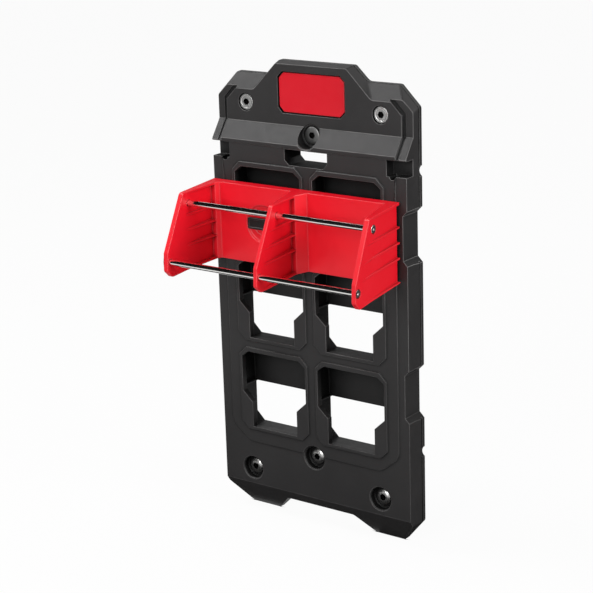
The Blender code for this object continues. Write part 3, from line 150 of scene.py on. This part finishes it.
def stage_sheet(name, place, facing, width, height, colour):
    """A flat sheet of the studio, with the tree of its own paint."""
    form = bmesh.new()
    bmesh.ops.create_grid(form, size=0.5)
    bmesh.ops.scale(form, verts=form.verts, vec=(width, height, 1))
    turn = Vector(facing).to_track_quat("Z", "Y").to_matrix().to_4x4()
    bmesh.ops.transform(form, verts=form.verts, matrix=Matrix.Translation(place) @ turn)
    mesh = bpy.data.meshes.new(name)
    form.to_mesh(mesh)
    form.free()
    paint = bpy.data.materials.new(name)
    paint.use_nodes = True
    shader = paint.node_tree.nodes["Principled BSDF"]
    shader.inputs["Base Color"].default_value = colour
    shader.inputs["Roughness"].default_value = 1
    mesh.materials.append(paint)
    sheet = bpy.data.objects.new(name, mesh)
    bpy.context.scene.collection.objects.link(sheet)
    return sheet, paint.node_tree, shader


_, floor_tree, floor_shader = stage_sheet("floor", (0, 0, cad_corners[0][2]), (0, 0, 1),
                                          FLOOR_SIDE, FLOOR_SIDE, FLOOR_COLOUR)
floor_seen = white_to_viewer(floor_tree, floor_shader, FLOOR_WHITENESS, FLOOR_SHEEN)
floor_tree.links.new(floor_seen.outputs[0], floor_tree.nodes["Material Output"].inputs["Surface"])

for card_name, (place, facing, width, height) in CARDS.items():
    card, _, card_shader = stage_sheet(card_name, place, facing, width, height, CARD_COLOUR)
    card_shader.inputs["Specular IOR Level"].default_value = 0
    card.visible_camera = False
    card.visible_diffuse = False
    card.visible_transmission = False
    card.visible_shadow = False

for lamp_name, (place, aim, side, watts) in LAMPS.items():
    lamp_data = bpy.data.lights.new(lamp_name, "AREA")
    lamp_data.shape = "SQUARE"
    lamp_data.size = side
    lamp_data.energy = watts
    lamp = bpy.data.objects.new(lamp_name, lamp_data)
    lamp.location = place
    lamp.rotation_euler = (Vector(aim) - Vector(place)).to_track_quat("-Z", "Y").to_euler()
    lamp.visible_camera = False
    bpy.context.scene.collection.objects.link(lamp)


# Wall plate: one deep moulding of black plastic with a fine spark-eroded grain, screwed flat
# to the wall. Its corners are broken by a small radius from the mould. A pale colour is painted
# on them as a highlight, stronger in its upper half, and its hollows and corners are painted
# darker as shade.
PLATE_EDGE_RADIUS = 0.0004
PLATE_COLOUR = (0.0165, 0.0157, 0.0159)
PLATE_PALE_COLOUR = (0.0195, 0.0186, 0.0188)
# Painted highlight on the broken edges.
PLATE_EDGE_HIGHLIGHT = (0.125, 0.122, 0.121)
PLATE_ROUGHNESS = 0.5
PLATE_SHINE = 0.31
PLATE_GRAIN = 0.00012
PLATE_ROUNDING = 0.0012
# Painted shade in pockets, bores and corners, falling to this share of the colour.
PLATE_SHADE_HOLLOWS = ((0.06, 0.55, 0.95), (0.004, 0.6, 0.97))
PLATE_SHADE_SHARE = 0.05
# Noises in plastic, each by its scale and detail, and the span where most of their values lie.
PLASTIC_CLOUDS = (18, 4)
PLASTIC_EDGE_NOISE = (35, 3)
PLASTIC_MATTNESS = (140, 3)
PLASTIC_GRAIN = (1500, 2)
NOISE_SPAN = (0.3, 0.7)
EDGE_NOISE_SPAN = (0.3, 0.6)
LEAST_EDGE_PAINT = 0.45
MATTNESS_SPREAD = 0.03
GRAIN_STRENGTH = 0.4
# The painted edge colour is full above the high height and at the low share below the low one.
EDGE_PAINT_LOW = -0.13
EDGE_PAINT_HIGH = 0.03
LOW_EDGE_PAINT = 0.3
ROUNDING_SAMPLES = 4
HOLLOW_SAMPLES = 6
WELD_DISTANCE = 0.00002
FLAT_ANGLE = math.radians(1)
EDGE_ANGLE = math.radians(28)
EDGE_SEGMENTS = 2
SMOOTH_ANGLE = math.radians(21)
SOCKET_START = 0.0005


class Paint:
    """A Principled material under way, with short calls for the nodes that feed it."""

    def __init__(self, name):
        self.material = bpy.data.materials.new(name)
        self.material.use_nodes = True
        self.tree = self.material.node_tree
        self.shader = self.tree.nodes["Principled BSDF"]
        self.place = self.tree.nodes.new("ShaderNodeTexCoord").outputs["Object"]

    def set(self, **values):
        """Constant values, by the shader's socket names with low lines for spaces."""
        for socket, value in values.items():
            self.shader.inputs[socket.replace("_", " ")].default_value = value

    def link(self, source, target):
        """A link from one socket to another."""
        self.tree.links.new(source, target)

    def noise(self, scale, detail=2, stretch=(1, 1, 1)):
        """Cloudy values around one half, finer as the scale grows."""
        mapping = self.tree.nodes.new("ShaderNodeMapping")
        mapping.inputs["Scale"].default_value = stretch
        self.link(self.place, mapping.inputs["Vector"])
        made = self.tree.nodes.new("ShaderNodeTexNoise")
        made.inputs["Scale"].default_value = scale
        made.inputs["Detail"].default_value = detail
        self.link(mapping.outputs["Vector"], made.inputs["Vector"])
        return made.outputs["Fac"]

    def remap(self, value, low, high, to_low=0, to_high=1):
        """A value stretched from one range to another and clamped."""
        made = self.tree.nodes.new("ShaderNodeMapRange")
        made.inputs["From Min"].default_value = low
        made.inputs["From Max"].default_value = high
        made.inputs["To Min"].default_value = to_low
        made.inputs["To Max"].default_value = to_high
        self.link(value, made.inputs["Value"])
        return made.outputs["Result"]

    def height(self, low, high, to_low, to_high):
        """A value that changes between two heights on the wall and is level past them."""
        made = self.tree.nodes.new("ShaderNodeSeparateXYZ")
        self.link(self.place, made.inputs["Vector"])
        return self.remap(made.outputs["Z"], low, high, to_low, to_high)

    def times(self, first, second):
        """The product of two values."""
        made = self.tree.nodes.new("ShaderNodeMath")
        made.operation = "MULTIPLY"
        self.link(first, made.inputs[0])
        self.link(second, made.inputs[1])
        return made.outputs[0]

    def blend(self, share, first, second):
        """One colour turning into another; either may be a colour or a socket."""
        made = self.tree.nodes.new("ShaderNodeMix")
        made.data_type = "RGBA"
        self.link(share, made.inputs["Factor"])
        sockets = [socket for socket in made.inputs if socket.type == "RGBA"]
        for socket, colour in zip(sockets, (first, second)):
            if isinstance(colour, tuple):
                socket.default_value = (*colour, 1)
            else:
                self.link(colour, socket)
        return [socket for socket in made.outputs if socket.type == "RGBA"][0]

    def bump(self, height, distance, strength=1, under=None):
        """A bumped normal from a height, laid over another normal."""
        made = self.tree.nodes.new("ShaderNodeBump")
        made.inputs["Distance"].default_value = distance
        made.inputs["Strength"].default_value = strength
        self.link(height, made.inputs["Height"])
        if under:
            self.link(under, made.inputs["Normal"])
        return made.outputs["Normal"]

    def rounded(self, radius):
        """The normal that the surface would have with its edges rounded to a radius."""
        made = self.tree.nodes.new("ShaderNodeBevel")
        made.samples = ROUNDING_SAMPLES
        made.inputs["Radius"].default_value = radius
        return made.outputs["Normal"]

    def open_air(self, reach, low, high):
        """One on open faces, falling to zero in corners and hollows narrower than the reach."""
        made = self.tree.nodes.new("ShaderNodeAmbientOcclusion")
        made.samples = HOLLOW_SAMPLES
        made.only_local = True
        made.inputs["Distance"].default_value = reach
        return self.remap(made.outputs["AO"], low, high)

    def marked(self, name):
        """One on a piece's faces that carry a mark, and zero on the others."""
        made = self.tree.nodes.new("ShaderNodeAttribute")
        made.attribute_name = name
        return made.outputs["Fac"]


def moulded_plastic(name, colour, pale, edge, roughness, shine, grain, rounding, hollows,
                    shade_share):
    """Moulded plastic: clouded colour, painted edges and hollow shade, a grain and rounded
    corners.

    Each of the hollows is a reach with the openness where its painted shade is full
    and where it ends.
    """
    paint = Paint(name)
    cloud = paint.remap(paint.noise(*PLASTIC_CLOUDS), *NOISE_SPAN)
    body = paint.blend(cloud, colour, pale)
    # The edge colour is painted on broken edges: a painted highlight where it is paler than the
    # body and a painted shade where it is darker, stronger higher up.
    painted_edge_share = paint.times(paint.remap(paint.noise(*PLASTIC_EDGE_NOISE), *EDGE_NOISE_SPAN, LEAST_EDGE_PAINT, 1),
                       paint.height(EDGE_PAINT_LOW, EDGE_PAINT_HIGH, LOW_EDGE_PAINT, 1))
    with_painted_edges = paint.blend(paint.times(paint.marked("eased"), painted_edge_share), body, edge)
    # Painted shade: the colour falls to a share of itself in corners and hollows.
    air = paint.open_air(*hollows[0])
    for hollow in hollows[1:]:
        air = paint.times(air, paint.open_air(*hollow))
    painted_shade = tuple(part * shade_share for part in colour)
    paint.link(paint.blend(air, painted_shade, with_painted_edges), paint.shader.inputs["Base Color"])
    paint.link(paint.remap(paint.noise(*PLASTIC_MATTNESS), *NOISE_SPAN,
                           roughness - MATTNESS_SPREAD, roughness + MATTNESS_SPREAD),
               paint.shader.inputs["Roughness"])
    paint.link(paint.bump(paint.noise(*PLASTIC_GRAIN), grain, GRAIN_STRENGTH,
                          paint.rounded(rounding)),
               paint.shader.inputs["Normal"])
    paint.set(Specular_IOR_Level=shine)
    return paint


def eased_copy(node_name, body, radius, paint, socket_reach=0):
    """A copy of a CAD node with its corners broken, which stands in for the node.

    A screw's faces within socket_reach of its axis and behind its front count as its socket
    and are marked to be painted black as its shade.
    """
    form = bmesh.new()
    form.from_mesh(nodes[node_name].data)
    bmesh.ops.remove_doubles(form, verts=form.verts, dist=WELD_DISTANCE)
    bmesh.ops.dissolve_limit(form, angle_limit=FLAT_ANGLE, use_dissolve_boundaries=False,
                             verts=form.verts, edges=form.edges)
    bmesh.ops.connect_verts_concave(form, faces=form.faces)
    eased = form.faces.layers.float.new("eased")
    corners = [edge for edge in form.edges
               if edge.is_manifold and edge.calc_face_angle() > EDGE_ANGLE]
    broken = bmesh.ops.bevel(form, geom=corners, offset=radius, offset_type="OFFSET",
                             affect="EDGES", segments=EDGE_SEGMENTS, profile=0.5,
                             material=-1, clamp_overlap=False)
    for face in broken["faces"]:
        face[eased] = 1
    deep = form.faces.layers.float.new("deep")
    low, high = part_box(node_name)
    for face in form.faces:
        middle = face.calc_center_median()
        from_axis = math.hypot(middle.x - (low[0] + high[0]) / 2,
                               middle.z - (low[2] + high[2]) / 2)
        if from_axis < socket_reach and (face[eased] or middle.y > low[1] + SOCKET_START):
            face[deep] = 1
    mesh = bpy.data.meshes.new(node_name + "_eased")
    form.to_mesh(mesh)
    form.free()
    mesh.materials.append(paint.material)
    mesh.shade_smooth()
    mesh.set_sharp_from_angle(angle=SMOOTH_ANGLE)
    piece = bpy.data.objects.new(node_name + "_eased", mesh)
    bpy.context.scene.collection.objects.link(piece)
    flats = piece.modifiers.new("flats", "WEIGHTED_NORMAL")
    flats.keep_sharp = True
    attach(piece, body)
    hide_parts(node_name)
    return piece


plate_paint = moulded_plastic("plate_black", PLATE_COLOUR, PLATE_PALE_COLOUR,
                              PLATE_EDGE_HIGHLIGHT, PLATE_ROUGHNESS, PLATE_SHINE, PLATE_GRAIN,
                              PLATE_ROUNDING, PLATE_SHADE_HOLLOWS, PLATE_SHADE_SHARE)
eased_copy("wall_plate", "plate", PLATE_EDGE_RADIUS, plate_paint)

# Label plate: a thin moulding of glossier red plastic with nothing on it, its corners broken
# like the plate's. It is glued in the recess at the top of the wall plate.
LABEL_EDGE_RADIUS = 0.0005
LABEL_COLOUR = (0.485, 0.002, 0.010)
LABEL_PALE_COLOUR = (0.52, 0.003, 0.013)
# Painted shade: a darker red on the broken edges, for the shade round the label's rim.
LABEL_EDGE_SHADE = (0.42, 0.01, 0.018)
LABEL_ROUGHNESS = 0.36
LABEL_SHINE = 0.4
LABEL_GRAIN = 0.00008
LABEL_ROUNDING = 0.0008
# Painted shade in the label's corners and hollows.
LABEL_SHADE_HOLLOWS = ((0.004, 0.3, 0.85),)
LABEL_SHADE_SHARE = 0.35

label_paint = moulded_plastic("label_red", LABEL_COLOUR, LABEL_PALE_COLOUR,
                              LABEL_EDGE_SHADE, LABEL_ROUGHNESS, LABEL_SHINE, LABEL_GRAIN,
                              LABEL_ROUNDING, LABEL_SHADE_HOLLOWS, LABEL_SHADE_SHARE)
eased_copy("label_plate", "plate", LABEL_EDGE_RADIUS, label_paint)

# Mounting screws and washers: zinc-plated steel with hexagonal sockets. The two top screws
# are sunk in dished washers, the ledge screw is flat and the three low ones are domed. The
# sockets are painted black as shade, and the ledge screw is a darker copy of the zinc, painted
# as the shade of its bore.
SCREW_EDGE_RADIUS = 0.0003
ZINC_COLOUR = (0.42, 0.42, 0.42)
ZINC_PALE_COLOUR = (0.50, 0.50, 0.49)
# Painted shade: the zinc made darker for the ledge screw in its bore.
SHADED_ZINC_COLOUR = (0.16, 0.16, 0.16)
SHADED_ZINC_PALE_COLOUR = (0.20, 0.20, 0.195)
BRIGHT_COLOUR = (0.42, 0.42, 0.41)
BRIGHT_PALE_COLOUR = (0.55, 0.54, 0.53)
SOCKET_REACH = 0.0040
ZINC_ROUGHNESS = 0.45
BRIGHT_ROUGHNESS = 0.32
# Painted shade: near black inside the screws' sockets.
SOCKET_SHADE_COLOUR = (0.006, 0.006, 0.006)
STEEL_CLOUDS = (400, 4)
STEEL_DULLNESS = (900, 2)
STEEL_MARKS = (1500, 3)
DULLNESS_SPREAD = 0.2
MARK_DEPTH = 0.00006
MARK_STRENGTH = 0.25
EDGE_BRIGHTNESS = 1.4


def turned_steel(name, colour, pale, roughness, stretch=(1, 1, 1)):
    """Plated steel: faint tool marks, dull clouds, bright edges and painted black socket shade.
    """
    paint = Paint(name)
    cloud = paint.remap(paint.noise(*STEEL_CLOUDS, stretch), *NOISE_SPAN)
    body = paint.blend(cloud, colour, pale)
    bright = tuple(min(1, part * EDGE_BRIGHTNESS) for part in pale)
    body = paint.blend(paint.marked("eased"), body, bright)
    # The faces marked deep are painted black as the shade inside a socket.
    paint.link(paint.blend(paint.marked("deep"), body, SOCKET_SHADE_COLOUR),
               paint.shader.inputs["Base Color"])
    paint.link(paint.remap(paint.noise(*STEEL_DULLNESS, stretch), *NOISE_SPAN,
                           roughness * (1 - DULLNESS_SPREAD),
                           roughness * (1 + DULLNESS_SPREAD)),
               paint.shader.inputs["Roughness"])
    paint.link(paint.bump(paint.noise(*STEEL_MARKS, stretch), MARK_DEPTH, MARK_STRENGTH),
               paint.shader.inputs["Normal"])
    paint.set(Metallic=1)
    return paint


zinc_paint = turned_steel("grey_steel", ZINC_COLOUR, ZINC_PALE_COLOUR, ZINC_ROUGHNESS)
bright_paint = turned_steel("bright_steel", BRIGHT_COLOUR, BRIGHT_PALE_COLOUR,
                            BRIGHT_ROUGHNESS)
shaded_zinc_paint = turned_steel("shaded_zinc_steel", SHADED_ZINC_COLOUR, SHADED_ZINC_PALE_COLOUR, ZINC_ROUGHNESS)
for name in ("top_washer_left", "top_washer_right", "top_screw_left", "top_screw_right"):
    eased_copy(name, "plate", SCREW_EDGE_RADIUS, zinc_paint, SOCKET_REACH)
eased_copy("ledge_screw", "plate", SCREW_EDGE_RADIUS, shaded_zinc_paint, SOCKET_REACH)
for name in ("low_middle_screw", "foot_left_screw", "foot_right_screw"):
    eased_copy(name, "plate", SCREW_EDGE_RADIUS, bright_paint, SOCKET_REACH)

# Rack body: one red moulding with a back, three ribbed walls and two hooks behind it. Its
# broken edges carry a paler painted highlight, and its corners, ribs and hollows a darker
# painted shade.
RACK_EDGE_RADIUS = 0.0006
RACK_COLOUR = (0.61, 0.002, 0.010)
RACK_PALE_COLOUR = (0.635, 0.004, 0.014)
# Painted highlight on the broken edges.
RACK_EDGE_HIGHLIGHT = (0.60, 0.024, 0.034)
RACK_ROUGHNESS = 0.4
RACK_SHINE = 0.4
RACK_GRAIN = 0.0001
RACK_ROUNDING = 0.0005
# Painted shade in corners, beside the ribs and in hollows.
RACK_SHADE_HOLLOWS = ((0.012, 0.15, 0.7), (0.004, 0.4, 0.85))
RACK_SHADE_SHARE = 0.45

rack_paint = moulded_plastic("rack_red", RACK_COLOUR, RACK_PALE_COLOUR,
                             RACK_EDGE_HIGHLIGHT, RACK_ROUGHNESS, RACK_SHINE, RACK_GRAIN,
                             RACK_ROUNDING, RACK_SHADE_HOLLOWS, RACK_SHADE_SHARE)
eased_copy("rack_body", "rack", RACK_EDGE_RADIUS, rack_paint)

# Rods: two ground and plated steel rods across both bays, pushed in through all three walls
# and held by a screw in each end. The fine grinding runs along them.
ROD_COLOUR = (0.86, 0.85, 0.83)
ROD_PALE_COLOUR = (0.92, 0.91, 0.89)
ROD_ROUGHNESS = 0.1
ROD_GRAIN = (0.03, 1, 1)
ROD_END_RADIUS = 0.0003
ROD_SCREW_EDGE_RADIUS = 0.0002

rod_paint = turned_steel("rod_steel", ROD_COLOUR, ROD_PALE_COLOUR, ROD_ROUGHNESS, ROD_GRAIN)
rods = bpy.data.collections.new("rods")
for name in ("upper_rod", "lower_rod"):
    rods.objects.link(eased_copy(name, "rack", ROD_END_RADIUS, rod_paint))
    for side in ("left", "right"):
        eased_copy(f"{name}_screw_{side}", "rack", ROD_SCREW_EDGE_RADIUS,
                   bright_paint)

# The overhead lamp isn't mirrored in the rods, which show only the room and its dark cards.
for rod in rods.collection_objects:
    rod.light_linking.link_state = "EXCLUDE"
bpy.data.objects["overhead"].light_linking.receiver_collection = rods

# Latch: a black plastic tab in the left bay moves a flat bolt behind the left hook. The
# cover keeps the bolt in its channel, and a leaf spring clicks it into either end place.
LATCH_COLOUR = (0.008, 0.008, 0.008)
LATCH_PALE_COLOUR = (0.014, 0.014, 0.014)
# Painted highlight on the broken edges.
LATCH_EDGE_HIGHLIGHT = (0.05, 0.05, 0.05)
LATCH_ROUGHNESS = 0.5
LATCH_SHINE = 0.2
LATCH_GRAIN = 0.0001
LATCH_ROUNDING = 0.0006
# Painted shade in the latch's corners and hollows.
LATCH_SHADE_HOLLOWS = ((0.006, 0.3, 0.85),)
LATCH_SHADE_SHARE = 0.35
LATCH_EDGE_RADIUS = 0.0004
LATCH_STEEL_EDGE_RADIUS = 0.00015

latch_paint = moulded_plastic("latch_black", LATCH_COLOUR, LATCH_PALE_COLOUR,
                              LATCH_EDGE_HIGHLIGHT, LATCH_ROUGHNESS, LATCH_SHINE, LATCH_GRAIN,
                              LATCH_ROUNDING, LATCH_SHADE_HOLLOWS, LATCH_SHADE_SHARE)
eased_copy("latch_slider", "latch", LATCH_EDGE_RADIUS, latch_paint)
eased_copy("latch_bolt", "latch", LATCH_STEEL_EDGE_RADIUS, bright_paint)
eased_copy("latch_cover", "rack", LATCH_STEEL_EDGE_RADIUS, zinc_paint)
for name in ("latch_cover_screw_left", "latch_cover_screw_right"):
    eased_copy(name, "rack", LATCH_STEEL_EDGE_RADIUS, zinc_paint)
eased_copy("latch_link_screw", "latch", LATCH_STEEL_EDGE_RADIUS, zinc_paint)
nodes["detent_spring"].material_slots[0].material = bright_paint.material
